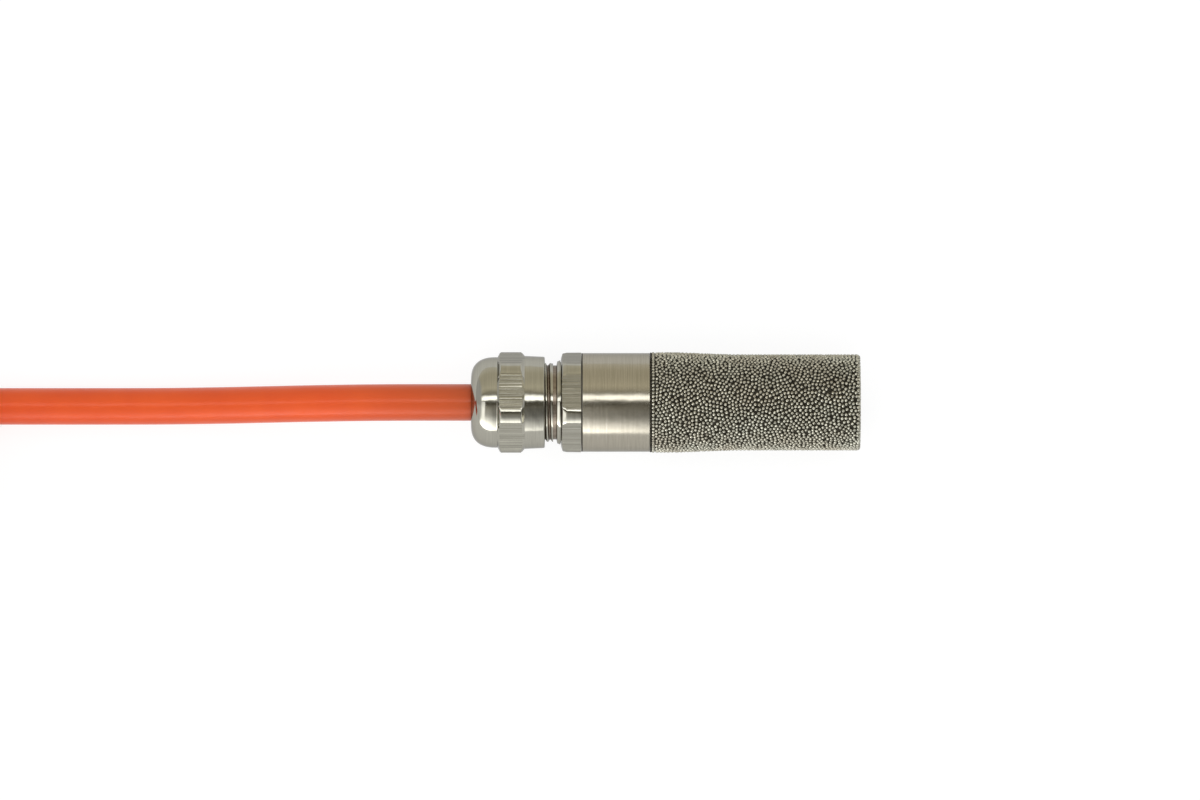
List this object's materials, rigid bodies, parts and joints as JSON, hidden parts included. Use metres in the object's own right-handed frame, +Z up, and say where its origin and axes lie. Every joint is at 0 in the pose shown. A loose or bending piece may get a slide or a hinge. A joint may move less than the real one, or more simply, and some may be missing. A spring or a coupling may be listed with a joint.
{
  "type": "soil moisture sensor",
  "caption": "Soil moisture probe with a sintered metal tip, a screwed sleeve, a hexagonal cable gland with a dome nut, and an orange cable tied in a hank with bare leads.",
  "frame": {"origin": "Middle of the probe's footprint, cable apart, on the surface that it lies on.", "axes": "+X along the probe from the cable gland to the porous tip, +Y across it, +Z up."},
  "size_m": [0.2287, 0.0405, 0.0279],
  "materials": {
    "nickel_plated_brass": "satin",
    "turned_steel": "satin",
    "sintered_metal": "matte",
    "orange_sheath": "satin",
    "black_rubber": "matte",
    "black_nylon": "satin",
    "white_nylon": "satin",
    "grey_nylon": "satin",
    "potting_resin": "satin",
    "board_laminate": "satin",
    "chip_resin": "matte",
    "tan_ceramic": "satin",
    "solder": "satin",
    "red_insulation": "satin",
    "black_insulation": "satin",
    "yellow_insulation": "satin",
    "green_insulation": "satin"
  },
  "bodies": {
    "gland": {"gland_body": "nickel_plated_brass", "clamping_claw": "grey_nylon", "seal_bush": "black_rubber", "gland_o_ring": "black_rubber", "cable_inner": "orange_sheath", "potting_plug": "potting_resin", "core_red": "red_insulation", "core_black": "black_insulation", "core_yellow": "yellow_insulation", "core_green": "green_insulation", "sensor_board": "board_laminate", "humidity_sensor": "chip_resin", "bypass_capacitor": "tan_ceramic", "data_pull_up": "chip_resin", "clock_pull_up": "chip_resin", "solder_joint_red": "solder", "solder_joint_black": "solder", "solder_joint_yellow": "solder", "solder_joint_green": "solder", "cable_free": "orange_sheath", "cable_hank": "orange_sheath", "hank_tie": "black_nylon", "lead_red": "red_insulation", "lead_black": "black_insulation", "lead_yellow": "yellow_insulation", "lead_green": "green_insulation", "tinned_end_red": "solder", "tinned_end_black": "solder", "tinned_end_yellow": "solder", "tinned_end_green": "solder"},
    "nut_slip_ring": {"slip_ring": "white_nylon"},
    "nut": {"dome_nut": "nickel_plated_brass"},
    "tip_guide": {"board_guide_ring": "white_nylon"},
    "tip": {"filter_sleeve": "turned_steel", "sintered_filter": "sintered_metal"}
  },
  "joints": [
    {"name": "nut_travel", "type": "slide", "parent": "gland", "child": "nut_slip_ring", "axis": [1, 0, 0], "range_m": [-0.0045, 0]},
    {"name": "nut_turn", "type": "hinge", "parent": "nut_slip_ring", "child": "nut", "pos_m": [-0.0223, 0, 0.00713], "axis": [1, 0, 0], "range_deg": [-2160, 0]},
    {"name": "tip_travel", "type": "slide", "parent": "gland", "child": "tip_guide", "axis": [1, 0, 0], "range_m": [0, 0.00476]},
    {"name": "tip_turn", "type": "hinge", "parent": "tip_guide", "child": "tip", "pos_m": [-0.00691, 0, 0.00713], "axis": [1, 0, 0], "range_deg": [0, 1350]}
  ],
  "couplings": [
    {"joint": "nut_turn", "follows": "nut_travel", "rad_per_m": 8377.6},
    {"joint": "tip_turn", "follows": "tip_travel", "rad_per_m": 4947.4}
  ]
}
